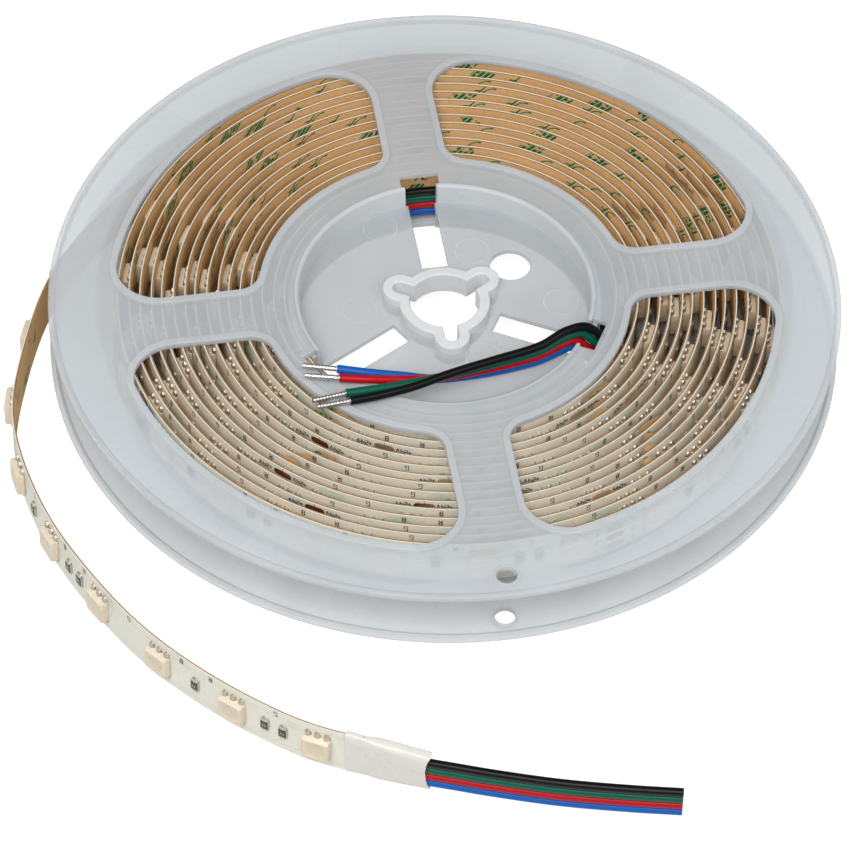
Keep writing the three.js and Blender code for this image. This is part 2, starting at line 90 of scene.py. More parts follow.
HUB = {
    "recess": 26.7, "draft": 0.4, "plug": 27.9, "floorBottom": 7.2, "floorTop": 8.4,
    "bore": 6.5, "keyAngle": 40.0, "keyWidth": 2.7, "keyTip": 10.2, "collarWall": 2.0,
    "collarBottom": 5.5, "collarTop": 10.2, "slotAngle": 100.6, "slotWidth": 5.0,
    "slotInner": 10.2, "wallSlot": 6.0, "notchWidth": 7.3, "notchRadius": 30.65,
    "floorHole": (12.15, 11.15, 3.85), "drumInner": 28.05, "drumOuter": 29.05,
    "rings": ((-12.5, 19.7), (4.9, 14.4), (21.7, 1.9), (-15.8, -1.4), (7.3, -12.1), (-10.6, -19.9)),
    "ringRadius": 3.2, "ringLine": 0.14, "collarBevel": 0.3, "drumFoot": 0.25,
    "drumGap": 0.15,
}

# Each wave of the uneven turns has its size, its rate a radian and its start.
STRIP = {
    "width": 10.0, "thickness": 0.45, "liner": 0.17, "tape": 0.08, "bottom": 1.35,
    "restHeight": 0.5, "pitch": 2.05, "startRadius": 29.8, "startAngle": 140.0, "turns": 16,
    "endAngle": 10.0, "shiftInner": (0.55, 0.95), "shiftOuter": (0.3, 1.65),
    "waves": ((0.09, 1.37, 1), (0.06, 2.73, 0)), "waveFade": 6, "stepsPerTurn": 150,
    "tailBlend": 12, "ledPitch": 16.667, "innerMargin": 4, "perSection": 6, "loose": 9,
    "sleeve": 15.1, "grip": 3.3,
}

# Marks on the liner, in millimetres along its cell and above its row
LINER = {
    "dark": (0.64, 0.365, 0.15), "light": (0.88, 0.56, 0.265), "edge": (0.17, 0.075, 0.03),
    "green": (0.003, 0.17, 0.055), "rows": (7.4, 4.0, 0.6), "tall": 2.5, "cell": 12.5,
    "slant": 0.8, "jitter": 4.0, "topEdge": 9.94,
}

# Each pair is the least value and what is added to it at most.
PUCKER = {
    "count": 34, "shade": 0.62, "length": (3, 5), "height": (1.4, 1.4), "lift": (0.5, 0.55),
    "fromSpoke": (17, 56), "steps": 12, "top": 9.92, "paper": 0.05,
}

LED = {
    "width": 5.0, "height": 1.5, "chamfer": 0.3, "corner": 1.36, "lens": 1.95,
    "lensDepth": 0.14, "seat": 0.06, "sides": 24,
}

JOINT = {"columns": (-1.75, 0, 1.75), "row": 2.75, "size": (0.64, 0.86, 0.62)}

# Frame and body: half width, half length, bottom, top and easing of the top edge
RESISTOR = {
    "frame": (0.86, 1.1, 0, 0.38, 0.08), "body": (0.72, 0.92, 0.1, 0.55, 0.05),
    "marks": (-0.24, 0.2), "markHalf": 0.28, "markLine": 0.09, "markHeight": 0.56,
    "jointRow": 1.28, "joint": (0.8, 0.62, 0.52), "seat": 0.02, "pair": (1.8, -1.8),
}

PAD = {"rows": (-3.6, -1.2, 1.2, 3.6), "reach": 1.2, "radius": 0.74, "lift": 0.015}

PRINT = {
    "line": 0.16, "lift": 0.012, "advance": 0.8, "narrow": 0.85, "cutHalf": 4.9,
    "cutLine": 0.12, "padReach": 3.75, "padSize": 0.98,
    "padSigns": (("+24V", 3.75), ("G", 1.2), ("R", -1.2), ("B", -3.75)), "row": 3.95,
    "size": 1.1, "signs": ((("G", 0.3),), (("B", -3.2), ("R", 3.4))),
}

# Top and bottom: start, what the swelling adds and what the length takes off
SLEEVE = {
    "sides": 48, "stations": 40, "wall": 0.3, "mouthWall": 0.25, "mouthDepth": 0.08,
    "thick": 0.78, "swell": 0.42, "swellStart": 0.2, "top": (5.3, 0, 1.7),
    "bottom": (5.05, 0.32, 0.15), "lean": 0.12, "drawn": 0.8, "drawnStart": 0.6,
}

WIRE = {
    "diameter": 1.6, "pitch": 1.75, "sides": 20, "spacing": 0.8, "core": 0.42,
    "grooveRadius": 30.45, "grooveAngles": (136.6, 3), "grooveHeights": (5.2, 1.7),
    "grooveSteps": 10, "strand": 0.5, "strandEnds": (0.02, 6.3), "strandTwist": 1.5,
    "cutHeight": 13.6,
}

tailRoute = [
    (-62.6, 22.4), (-69.2, 11.9), (-74.1, 0), (-77.2, -17.5), (-77.8, -29.8),
    (-75.6, -40.8), (-69.7, -55), (-62.6, -66.2), (-52.8, -78.3), (-43.4, -86.8),
    (-31.2, -95.1), (-20, -100.6), (-0.3, -105.4),
]

outerRoute = [
    (-11, -102.95, 1.6), (-6, -104.15, 1.6), (-0.3, -105.4, 1.6), (4, -106.1, 1.5),
    (10, -106.95, 1.2), (22, -108.4, 0.85), (34, -109.3, 0.82), (43.2, -109.7, 0.82),
]

hubRoute = [
    (29.8, -4.2, 7.4, 0, 0), (29.2, -8.1, 7.1, 0, 0), (27.4, -9.3, 9, 0, 0),
    (25, -9.6, 11.6, 0, 0), (22.3, -11.3, 12.4, 4, 0), (17.7, -14.4, 12.1, 12, 0),
    (9.6, -17.65, 12, 18, 0), (3.5, -19.65, 11.95, 28, 0), (-0.5, -21.1, 12.2, 38, 0),
    (-6.7, -23, 12.9, 66, 0.2), (-12.9, -24.4, 13.5, 86, 0.9),
]

wires = {
    "blue": {"colour": (0.008, 0.12, 0.50), "cut": (-19.3, -20.9), "tip": (-25.3, -20.3)},
    "red": {"colour": (0.52, 0.006, 0.014), "cut": (-18.8, -23.1), "tip": (-24.8, -22.7)},
    "green": {"colour": (0.001, 0.115, 0.068), "cut": (-17.5, -26.8), "tip": (-23.3, -28.7)},
    "black": {"colour": (0.003, 0.003, 0.003), "cut": (-16.6, -28.6), "tip": (-22.7, -30.3)},
}

spokeAngles = [REEL["spokeAngle"] + 90 * k for k in range(4)]
slotAngles = [HUB["slotAngle"] + 120 * k for k in range(3)]


def polar(radius, angle):
    angle = np.radians(angle)
    return np.stack([radius * np.cos(angle), radius * np.sin(angle)], -1)


def catmull(points, spacing):
    # Centripetal Catmull-Rom curve through the points, sampled about every spacing
    points = np.array(points, float)
    padded = np.vstack([2 * points[0] - points[1], points, 2 * points[-1] - points[-2]])
    samples = []
    for i in range(1, len(padded) - 2):
        p = padded[i - 1 : i + 3]
        gaps = np.maximum(np.linalg.norm(np.diff(p, axis=0), axis=1) ** 0.5, 1e-4)
        m1 = (p[1] - p[0]) / gaps[0] - (p[2] - p[0]) / (gaps[0] + gaps[1]) + (p[2] - p[1]) / gaps[1]
        m2 = (p[2] - p[1]) / gaps[1] - (p[3] - p[1]) / (gaps[1] + gaps[2]) + (p[3] - p[2]) / gaps[2]
        m1, m2 = m1 * gaps[1], m2 * gaps[1]
        count = max(2, int(np.ceil(np.linalg.norm(p[2] - p[1]) / spacing)))
        t = np.linspace(0, 1, count, endpoint=False)[:, None]
        cubic = (2 * p[1] - 2 * p[2] + m1 + m2) * t**3 + (3 * p[2] - 3 * p[1] - 2 * m1 - m2) * t**2
        samples.append(cubic + m1 * t + p[1])
    return np.vstack([*samples, points[-1:]])


def lengthsOf(points):
    return np.concatenate([[0], np.cumsum(np.linalg.norm(np.diff(points, axis=0), axis=1))])


def unit(vectors):
    return vectors / np.linalg.norm(vectors, axis=-1, keepdims=True)


def toFrame(points):
    return (np.asarray(points, float) + (axisX, axisY, 0)) * 0.001


def addObject(name, data):
    item = bpy.data.objects.new(name, data)
    bpy.context.scene.collection.objects.link(item)
    return item


def gridFaces(rows, columns):
    faces = []
    for i in range(rows - 1):
        for j in range(columns):
            a, b = i * columns + j, i * columns + (j + 1) % columns
            faces.append((a, b, b + columns, a + columns))
    return faces


def tubeFaces(rows, columns):
    last = (rows - 1) * columns
    return gridFaces(rows, columns) + [tuple(range(columns))[::-1], tuple(range(last, last + columns))]


class Solid:
    # Gathers vertices and faces of several closed forms into one mesh
    def __init__(self):
        self.points, self.faces, self.kinds = [], [], []
        self.count = 0

    def add(self, points, faces, kind=0):
        # kind is the material index of all faces, or a list of each face's
        self.points.append(np.asarray(points, float))
        self.faces += [tuple(self.count + i for i in face) for face in faces]
        self.kinds += kind if isinstance(kind, list) else [kind] * len(faces)
        self.count += len(points)

    def copies(self, matrices, points, faces, kinds):
        for turn, foot in matrices:
            self.add(points @ turn.T + foot, faces, kinds)

    def grid(self, rings, kind=0, ends="capped"):
        # Rings of points along rows; the faces look outwards when the rings turn anticlockwise going up
        rings = np.asarray(rings, float)
        rows, columns = rings.shape[:2]
        faces = tubeFaces(rows, columns) if ends == "capped" else gridFaces(rows, columns)
        if ends == "joined":
            last = (rows - 1) * columns
            faces += [(last + j, last + (j + 1) % columns, (j + 1) % columns, j) for j in range(columns)]
        self.add(rings.reshape(-1, 3), faces, kind)

    def plate(self, loops, bottom, top, bevel, kind=0):
        # A flat plate: the first loop is its outline, the others its holes, all edges rounded by bevel
        rounds = [(math.sin(a), math.cos(a)) for a in np.radians([0, 30, 60, 90])]
        lower = [(bevel * (1 - s), bottom + bevel * (1 - c)) for s, c in rounds]
        upper = [(bevel * (1 - s), top - bevel * (1 - c)) for s, c in rounds[::-1]]
        levels = lower + upper
        caps = []
        for k, loop in enumerate(loops):
            loop = oriented(loop, k == 0)
            rings = [lifted(inset(loop, d), z) for d, z in levels]
            self.add(np.vstack(rings), gridFaces(len(levels), len(loop)), kind)
            caps.append(rings[0][:, :2])
        flat = np.vstack(caps)
        triangles = tessellate_polygon([[(x, y, 0) for x, y in loop] for loop in caps])
        for z, up in ((bottom, False), (top, True)):
            faces = [tri if (cross(flat, tri) > 0) == up else tri[::-1] for tri in triangles]
            self.add(lifted(flat, z), faces, kind)

    def build(self, name, materials, slotName, nodes=(), sharp=35, corners=None):
        # Makes the piece; corners holds the running length and height of each face's corners
        mesh = bpy.data.meshes.new(name)
        mesh.from_pydata(toFrame(np.vstack(self.points)).tolist(), [], self.faces)
        for material in materials:
            mesh.materials.append(material)
        mesh.polygons.foreach_set("material_index", self.kinds)
        if corners:
            layer = mesh.uv_layers.new(name="along")
            layer.data.foreach_set("uv", np.array(corners, np.float32).ravel())
        mesh.polygons.foreach_set("use_smooth", [True] * len(mesh.polygons))
        mesh.set_sharp_from_angle(angle=math.radians(sharp))
        mesh.update()
        piece = addObject(name, mesh)
        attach(piece, "root")
        if nodes:
            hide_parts(*nodes)
        return piece


def cross(flat, tri):
    a, b, c = (flat[i] for i in tri)
    return (b[0] - a[0]) * (c[1] - a[1]) - (b[1] - a[1]) * (c[0] - a[0])


def oriented(loop, anticlockwise):
    loop = np.asarray(loop, float)
    after = np.roll(loop, -1, axis=0)
    area = (loop[:, 0] * after[:, 1] - after[:, 0] * loop[:, 1]).sum()
    return loop if (area > 0) == anticlockwise else loop[::-1]


def lifted(plan, z):
    return np.column_stack([plan, np.full(len(plan), z)])


def inset(loop, distance):
    # Moves a loop into the material on its left by a distance
    before = unit(loop - np.roll(loop, 1, axis=0))
    after = unit(np.roll(loop, -1, axis=0) - loop)
    normal = unit(np.stack([-(before + after)[:, 1], (before + after)[:, 0]], 1))
    left = np.stack([-after[:, 1], after[:, 0]], 1)
    reach = 1 / np.maximum((normal * left).sum(1), 0.5)
    return loop + normal * (distance * reach)[:, None]


def arc(centre, radius, start, stop, step=2.5):
    count = max(2, int(math.ceil(abs(stop - start) / step)) + 1)
    return np.asarray(centre) + polar(radius, np.linspace(start, stop, count))


def circle(x, y, radius, count=48):
    return np.array((x, y)) + polar(radius, np.arange(count) * 360 / count)


def turned(points, angle):
    c, s = math.cos(math.radians(angle)), math.sin(math.radians(angle))
    return np.asarray(points) @ np.array([[c, s], [-s, c]])


def addAt(name, data, place, axes):
    # An object at a place in millimetres, with its own X, Y and Z along the axes
    item = addObject(name, data)
    rows = np.column_stack([*axes, toFrame(place)]).tolist()
    item.matrix_world = Matrix([*rows, (0, 0, 0, 1)])
    return item


def addCamera():
    data = bpy.data.cameras.new("camera")
    data.sensor_width = CAMERA["sensor"]
    data.lens = CAMERA["focal"] * CAMERA["sensor"] / CAMERA["pixels"]
    data.clip_end = CAMERA["farClip"]
    pan, tilt, roll = CAMERA["turn"]
    forward = np.array([math.sin(pan) * math.cos(tilt), math.cos(pan) * math.cos(tilt), -math.sin(tilt)])
    right = np.array([math.cos(pan), -math.sin(pan), 0])
    down = np.cross(forward, right)
    across = math.cos(roll) * right + math.sin(roll) * down
    under = -math.sin(roll) * right + math.cos(roll) * down
    bpy.context.scene.camera = addAt("camera", data, CAMERA["place"], (across, -under, -forward))


def addLight(name, place, size, power):
    data = bpy.data.lights.new(name, "AREA")
    data.shape = "RECTANGLE"
    data.size, data.size_y = size
    data.energy = power
    ahead = unit(np.subtract(LIGHT["target"], place))
    side = unit(np.cross(ahead, (0, 0, 1)))
    addAt(name, data, place, (side, np.cross(side, ahead), -ahead))


def addStage():
    scene = bpy.context.scene
    scene.view_settings.view_transform = "Standard"
    world = bpy.data.worlds.new("studio")
    world.use_nodes = True
    sky = world.node_tree.nodes["Background"].inputs
    sky["Color"].default_value = (1, 1, 1, 1)
    sky["Strength"].default_value = LIGHT["sky"]
    scene.world = world
    for lamp in LIGHT["lamps"]:
        addLight(*lamp)
    reach, drop = LIGHT["floorReach"], -LIGHT["floorDrop"]
    corners = [(x * reach, y * reach, drop) for x, y in ((-1, -1), (1, -1), (1, 1), (-1, 1))]
    mesh = bpy.data.meshes.new("floor")
    mesh.from_pydata(corners, [], [(0, 1, 2, 3)])
    floor = addObject("floor", mesh)
    # The camera sees the floor as white paper, with only the deepest of the shadow left
    paper = Graph("paper", Roughness=0.9, Emission_Strength=1)
    tone, glow = LIGHT["floorTone"], LIGHT["floorGlow"]
    rays = ("Is Camera Ray", "Is Glossy Ray", "Is Transmission Ray")
    camera, glossy, through = (paper.node("ShaderNodeLightPath", output=name) for name in rays)
    x, y = paper.plan()
    # Paper seen through the milky plastic glows less than the open sheet, and less still towards the far
    # side:
    # painted shade. Under the roll it is darker still, as painted shadow.
    bare = paper.node("ShaderNodeLightPath", output="Transparent Depth") < 0.5
    milkyShade = paper.range(y, *LIGHT["farSideShade"], *LIGHT["throughPlastic"])
    camera = camera * (bare + (bare * -1.0 + 1.0) * milkyShade)
    # Under the roll the paper is painted dark brown with almost no glow: a painted shadow of the roll
    radius = hypot(x, y)
    near, far = LIGHT["rollShadeRadii"]
    under = (radius > near) * (radius < far)
    paper.tint(under, (tone, tone, tone), LIGHT["rollShadeTone"])
    dim = paper.range(under, 0.0, 1.0, 1.0, LIGHT["rollShadeGlow"])
    seen = (camera + glossy + through).math("MINIMUM", 1.0) * dim
    paper.feed("Emission Color", paper.mix(seen, (0, 0, 0), (glow, glow, glow)))
    mesh.materials.append(paper.material)


class Value:
    # One output of a shader node; arithmetic on it adds math nodes
    def __init__(self, graph, socket):
        self.graph, self.socket = graph, socket

    def math(self, operation, *others):
        return self.graph.node("ShaderNodeMath", [self, *others], operation=operation)

    __add__ = partialmethod(math, "ADD")
    __sub__ = partialmethod(math, "SUBTRACT")
    __mul__ = partialmethod(math, "MULTIPLY")
    __truediv__ = partialmethod(math, "DIVIDE")
    __mod__ = partialmethod(math, "FLOORED_MODULO")
    __lt__ = partialmethod(math, "LESS_THAN")
    __gt__ = partialmethod(math, "GREATER_THAN")
    size = partialmethod(math, "ABSOLUTE")
    floor = partialmethod(math, "FLOOR")

    def near(self, middle, half):
        return (self - middle).size() < half


def hypot(x, y):
    return (x * x + y * y).math("SQRT")


class Graph:
    def __init__(self, name, **settings):
        self.material = bpy.data.materials.new(name)
        self.material.use_nodes = True
        self.tree = self.material.node_tree
        self.shader = self.tree.nodes["Principled BSDF"]
        for key, value in settings.items():
            self.shader.inputs[key.replace("_", " ")].default_value = value

    def node(self, kind, inputs=(), output=0, **properties):
        made = self.tree.nodes.new(kind)
        for key, value in properties.items():
            setattr(made, key, value)
        for key, value in inputs.items() if isinstance(inputs, dict) else enumerate(inputs):
            if isinstance(value, Value):
                self.tree.links.new(value.socket, made.inputs[key])
            else:
                made.inputs[key].default_value = value
        return Value(self, made.outputs[output])

    def feed(self, name, value):
        self.tree.links.new(value.socket, self.shader.inputs[name])

    def place(self):
        return self.node("ShaderNodeTexCoord", output=3)

    def parts(self, vector):
        return [self.node("ShaderNodeSeparateXYZ", [vector], output=i) for i in range(3)]

    def plan(self):
        # Millimetres from the reel's axis
        x, y, _ = self.parts(self.place())
        return (x - 0.001 * axisX) * 1000.0, (y - 0.001 * axisY) * 1000.0

    def along(self):
        # Millimetres along the strip and up it, and both as one vector
        u, v, _ = self.parts(self.node("ShaderNodeUVMap", uv_map="along"))
        return u, v, self.node("ShaderNodeCombineXYZ", [u, v, 0.0])

    def noise(self, scale, vector=None, detail=3, roughness=0.5):
        inputs = {"Scale": scale, "Detail": detail, "Roughness": roughness, "Vector": vector or self.place()}
        return self.node("ShaderNodeTexNoise", inputs)

    def stretch(self, vector, scale):
        return self.node("ShaderNodeMapping", {"Vector": vector, "Scale": scale})

    def mix(self, factor, first, second):
        first, second = (c if isinstance(c, Value) else (*c, 1) for c in (first, second))
        return self.node("ShaderNodeMix", {0: factor, 6: first, 7: second}, 2, data_type="RGBA")

    def tint(self, factor, first, second):
        self.feed("Base Color", self.mix(factor, first, second))

    def rough(self, drift, least, most):
        self.feed("Roughness", self.range(drift, 0.3, 0.7, least, most))

    def range(self, value, low, high, start=0.0, stop=1.0):
        return self.node("ShaderNodeMapRange", [value, low, high, start, stop])

    def bump(self, height, strength, distance):
        bumped = self.node("ShaderNodeBump", {"Strength": strength, "Distance": distance, "Height": height})
        self.feed("Normal", bumped)


def plastic(name, alpha, base, shade):
    # Milky translucent moulding: pale flow streaks, fine haze and a soft ripple of the surface
    graph = Graph(name, IOR=1.48, Specular_IOR_Level=0.5)
    haze = graph.noise(55, detail=4)
    flow = graph.noise(1, graph.stretch(graph.place(), (90, 25, 60)), detail=2)
    tone = graph.mix(graph.range(flow * 0.6 + haze * 0.4, 0.35, 0.65), base, shade)
    graph.feed("Base Color", tone)
    graph.rough(haze, 0.24, 0.38)
    graph.feed("Alpha", graph.range(haze, 0.3, 0.7, alpha - 0.03, alpha + 0.03))
    ripple = graph.noise(160, detail=3) * 0.25 + graph.noise(30, detail=1)
    return graph, ripple, tone


def flangePlastic(name, alpha, base, shade):
    # The flange's outer band is sunk a little into fields, with a raised land at the middle of each window
    graph, ripple, tone = plastic(name, alpha, base, shade)
    x, y = graph.plan()
    radius = hypot(x, y)
    angle = y.math("ARCTAN2", x) * (180 / math.pi) - REEL["spokeAngle"]
    aside = ((angle + 45) % 90.0 - 45.0).size() - REEL["labelHalf"]
    below = radius - REEL["labelInner"]
    band = radius < REEL["radius"] - REEL["rimWidth"]
    sunk = (aside < 0.0) * (below > 0.0) * band
    # A thin painted highlight, a pale tint, runs along the edges of the fields
    step = (aside.size() < 0.16) * (below > 0.0) * band + (below.size() < 0.12) * (aside < 0.0)
    pale = graph.mix(sunk * 0.5, tone, base)
    graph.tint(step * 0.18, pale, (0.95, 0.97, 0.98))
    graph.feed("Alpha", graph.range(below, -1.0, 0.5, alpha, alpha + REEL["bandAlpha"]))
    graph.bump(ripple * 0.5 - sunk * 1.2, 0.5, 0.0002)
    return graph.material


def edgePlastic(name, alpha, base, shade):
    graph, ripple, _ = plastic(name, alpha, base, shade)
    graph.bump(ripple, 0.2, 0.0002)
    return graph.material


def floorPlastic(name, alpha, base, shade):
    # The hub floor also shows the shallow witness rings of the mould's pins
    graph, ripple, tone = plastic(name, alpha, base, shade)
    x, y = graph.plan()
    rings = None
    for cx, cy in HUB["rings"]:
        ring = hypot(x - cx, y - cy).near(HUB["ringRadius"], HUB["ringLine"])
        rings = ring if rings is None else rings + ring
    rings = rings * graph.range(graph.noise(420, detail=1), 0.4, 0.6, 0.25, 1.0)
    # The rings themselves are real; their lighter tint is a painted highlight on their edges
    graph.tint(rings.math("MINIMUM", 1.0) * 0.45, tone, (0.9, 0.92, 0.93))
    graph.bump(ripple * 0.3 + rings * 1.8, 0.6, 0.0002)
    return graph.material


def insulation(name, colour):
    graph = Graph(name, IOR=1.38, Coat_Weight=0.07, Coat_Roughness=0.12, Specular_IOR_Level=0.26)
    drift = graph.noise(220, detail=2)
    darker = tuple(c * 0.75 for c in colour)
    graph.tint(drift, darker, colour)
    graph.rough(drift, 0.28, 0.42)
    graph.bump(graph.noise(900, detail=2), 0.15, 0.0001)
    return graph.material


def metal(name, colour, roughness, metallic=1.0):
    graph = Graph(name, Metallic=metallic)
    drift = graph.noise(1500, detail=2)
    graph.tint(drift, tuple(c * 0.7 for c in colour), colour)
    graph.rough(drift, roughness - 0.08, roughness + 0.1)
    return graph.material


def matte(name, colour, shade, scale, roughness, bump=0.2):
    graph = Graph(name)
    drift = graph.noise(scale, detail=4)
    graph.tint(graph.range(drift, 0.3, 0.7), shade, colour)
    graph.rough(drift, roughness - 0.06, roughness + 0.08)
    graph.bump(drift, bump, 0.0001)
    return graph.material


def linerPaper(name, shade=1.0):
    # Kraft release paper with pale fibres, a cut edge painted dark as shade of the gap between turns, and
    # green printed bars, dashes and arcs
    graph = Graph(name, Specular_IOR_Level=0.2)
    u, v, flat = graph.along()
    fibre = graph.noise(1, graph.stretch(flat, (0.9, 4.5, 1)), detail=4, roughness=0.65)
    patch = graph.noise(0.05, flat, detail=2)
    tone = graph.range(fibre * 0.7 + patch * 0.3, 0.33, 0.67)
    # shade darkens every tone of the paper, for a copy in painted shade
    dark, light = (tuple(shade * c for c in LINER[key]) for key in ("dark", "light"))
    paper = graph.mix(tone, dark, light)
    blot = graph.noise(0.8, flat, detail=0)
    marks = None
    for row, base in enumerate(LINER["rows"]):
        # Each cell of a row shows one kind of mark or none, by a chance of its own
        rise = v - base
        slant = u + rise * LINER["slant"] + row * 3.1
        cell = (slant / LINER["cell"]).floor()
        chance = graph.node("ShaderNodeTexWhiteNoise", {"W": cell + row * 57.0}, noise_dimensions="1D")
        at = slant % LINER["cell"] - chance * LINER["jitter"]
        pick = (chance * 13.0) % 1.0
        bars = (at > 0.2) * (at < 4.7) * (at % 1.12 < 0.86) * (blot > 0.42)
        bow = hypot(at - 5.4, rise - 1.2).near(1.05, 0.19) * (at > 4.9)
        dash = at.near(7.3, 0.2) + rise.near(1.3, 0.18) * at.near(7.7, 0.8)
        shown = bars * (pick > 0.66) + bow * (pick < 0.4) + dash * pick.near(0.32, 0.16)
        shown = shown * (rise > 0.0) * (rise < LINER["tall"])
        marks = shown if marks is None else marks + shown
    busy = graph.noise(0.035, flat, detail=1) > 0.42
    marks = marks.math("MINIMUM", 1.0) * busy * graph.range(fibre, 0.25, 0.4, 0.7, 1.0)
    printed = graph.mix(marks, paper, LINER["green"])
    # The top edge is painted dark brown: painted shade of the gap between the turns
    graph.tint((v > LINER["topEdge"]) * 0.75, printed, LINER["edge"])
    graph.rough(fibre, 0.62, 0.8)
    graph.bump(fibre, 0.3, 0.00015)
    return graph.material


def padCopper():
    # Bare copper, painted dark brown as shade in most places and bright gold in some, part tin and part
    # painted highlight
    graph = Graph("pad_copper", Metallic=0.6)
    shadeAndGlint = graph.range(graph.noise(26, detail=1), 0.5, 0.58)
    graph.tint(shadeAndGlint, (0.20, 0.075, 0.025), (0.86, 0.72, 0.48))
    graph.feed("Roughness", graph.range(shadeAndGlint, 0.0, 1.0, 0.5, 0.3))
    return graph.material


def boardMask():
    # White solder mask with faint grey conductor traces showing through it
    graph = Graph("board")
    u, v, flat = graph.along()
    grain = graph.noise(1.4, flat, detail=3)
    track = (v - 5.0).size().near(3.6, 0.35)
    tone = graph.mix(graph.range(grain, 0.3, 0.7), (0.80, 0.79, 0.675), (0.87, 0.865, 0.765))
    tracked = graph.mix(track * 0.14, tone, (0.55, 0.58, 0.48))
    tinge = graph.range(graph.noise(0.09, flat, detail=1), 0.6, 0.72) * (v > 7.0) * (v < 9.6)
    tinged = graph.mix(tinge * 0.7, tracked, (0.50, 0.66, 0.52))
    # The top edge is tinted a darker tan: painted shade, so that it is not brighter than the face
    graph.tint((v > 9.99) * 0.6, tinged, (0.76, 0.68, 0.55))
    graph.rough(grain, 0.38, 0.5)
    graph.bump(track * 0.5 + grain * 0.3, 0.2, 0.0001)
    return graph.material


def tubeAlong(points, radius, sides, lobes=None):
    # Rings round a line, by carrying the first ring's direction along; lobes makes a twisted strand
    points = np.asarray(points, float)
    tangents = unit(np.gradient(points, axis=0))
    side = unit(np.cross(tangents[0], (0, 0, 1)))
    angle = np.arange(sides) * 2 * math.pi / sides
    rings = []
    for point, tangent, distance in zip(points, tangents, lengthsOf(points)):
        side = unit(side - tangent * side.dot(tangent))
        up = np.cross(tangent, side)
        reach = np.full(sides, radius)
        if lobes:
            phase = angle - distance * WIRE["strandTwist"]
            reach = radius * (0.84 + 0.16 * np.abs(np.cos(0.5 * lobes * phase)))
        around = np.cos(angle)[:, None] * side + np.sin(angle)[:, None] * up
        rings.append(point + reach[:, None] * around)
    return rings


def ribbonPoints(index):
    # The flat ribbon of four: round the drum, out through the slot and over the hub, then fanned out
    start, stop = WIRE["grooveAngles"]
    low, climb = WIRE["grooveHeights"]
    ribbon = []
    for share in np.linspace(0, 1, WIRE["grooveSteps"]):
        x, y = polar(WIRE["grooveRadius"], start + (stop - start) * share)
        ribbon.append((x, y, low + climb * share**2, 0, 0))
    ribbon = np.array(ribbon + hubRoute, float)
    place = index - 1.5
    points = []
    for i, (x, y, z, lean, split) in enumerate(ribbon):
        along = unit(ribbon[min(i + 1, len(ribbon) - 1), :3] - ribbon[max(i - 1, 0), :3])
        across = np.array([0, -math.sin(math.radians(lean)), math.cos(math.radians(lean))])
        across = unit(across - along * across.dot(along))
        offset = place * WIRE["pitch"] + math.copysign(split / 2, place)
        points.append(np.array([x, y, z]) + across * offset)
    return points


def addLeads():
    tinned = metal("tinned_copper", (0.78, 0.77, 0.74), 0.25)
    copper = metal("cut_copper", (0.72, 0.42, 0.24), 0.3)
    radius, spacing = WIRE["diameter"] / 2, WIRE["spacing"]
    for index, (name, wire) in enumerate(wires.items()):
        cover = insulation(f"insulation_{name}", wire["colour"])
        route = catmull([(x, y, z + index * WIRE["pitch"]) for x, y, z in outerRoute], spacing)
        lead = Solid()
        lead.grid(tubeAlong(route, radius, WIRE["sides"]))
        end, ahead = route[-1], unit(route[-1] - route[-2])
        lead.grid(tubeAlong([end - ahead * 0.2, end + ahead * 0.03], WIRE["core"], 12), kind=1)
        outer = lead.build(f"lead_outer_{name}", [cover, copper], f"wire_{name}", [f"outer_wire_{name}"])
        cut = np.array([*wire["cut"], WIRE["cutHeight"]])
        route = catmull([*ribbonPoints(index), cut], spacing)
        lead = Solid()
        lead.grid(tubeAlong(route, radius, WIRE["sides"]))
        inner = lead.build(f"lead_inner_{name}", [cover], f"wire_{name}", [f"inner_wire_{name}"])
        ahead = unit(np.array([*wire["tip"], WIRE["cutHeight"]]) - cut)
        line = cut + ahead * np.linspace(*WIRE["strandEnds"], 40)[:, None]
        strand = Solid()
        strand.grid(tubeAlong(line, WIRE["strand"], 28, lobes=7))
        tip = strand.build(f"strands_{name}", [tinned], "tin", [f"inner_tip_{name}"], sharp=60)


def layStrip():
    # Plan points, heights, running length and outward direction of the strip's inner face
    steps = STRIP["stepsPerTurn"]
    count = int(round((STRIP["turns"] + STRIP["endAngle"] / 360) * steps))
    angle = np.linspace(0, 360 * STRIP["turns"] + STRIP["endAngle"], count + 1)
    share = (angle / (360 * STRIP["turns"]))[:, None]
    drift = np.array(STRIP["shiftInner"]) * (1 - share) + np.array(STRIP["shiftOuter"]) * share
    # Turns don't lie quite evenly: two slow waves, out of step from turn to turn, that fade at both ends
    turn = np.radians(angle)
    fade = np.clip(np.minimum(turn, turn[-1] - turn) / STRIP["waveFade"], 0, 1)
    uneven = fade * sum(size * np.sin(rate * turn + start) for size, rate, start in STRIP["waves"])
    radius = STRIP["startRadius"] + STRIP["pitch"] * angle / 360 + uneven
    plan = polar(1, STRIP["startAngle"] + angle) * radius[:, None] + drift
    # The loose end blends into the last few degrees of the winding
    back = int(round(STRIP["tailBlend"] / 360 * steps))
    tail = catmull([plan[-1 - back], plan[-1], *tailRoute], 0.7)
    start = int(np.argmin(np.linalg.norm(tail - plan[-1], axis=1))) + 1
    plan = np.vstack([plan, tail[start:]])
    run = lengthsOf(plan)
    off = run[np.argmax(np.linalg.norm(plan, axis=1) > REEL["radius"] + STRIP["thickness"])]
    settled = np.clip((run - off) / (run[-1] - off), 0, 1)
    height = STRIP["bottom"] + (STRIP["restHeight"] - STRIP["bottom"]) * settled
    ahead = unit(np.gradient(plan, axis=0))
    return {"plan": plan, "height": height, "run": run, "out": np.stack([ahead[:, 1], -ahead[:, 0]], 1)}


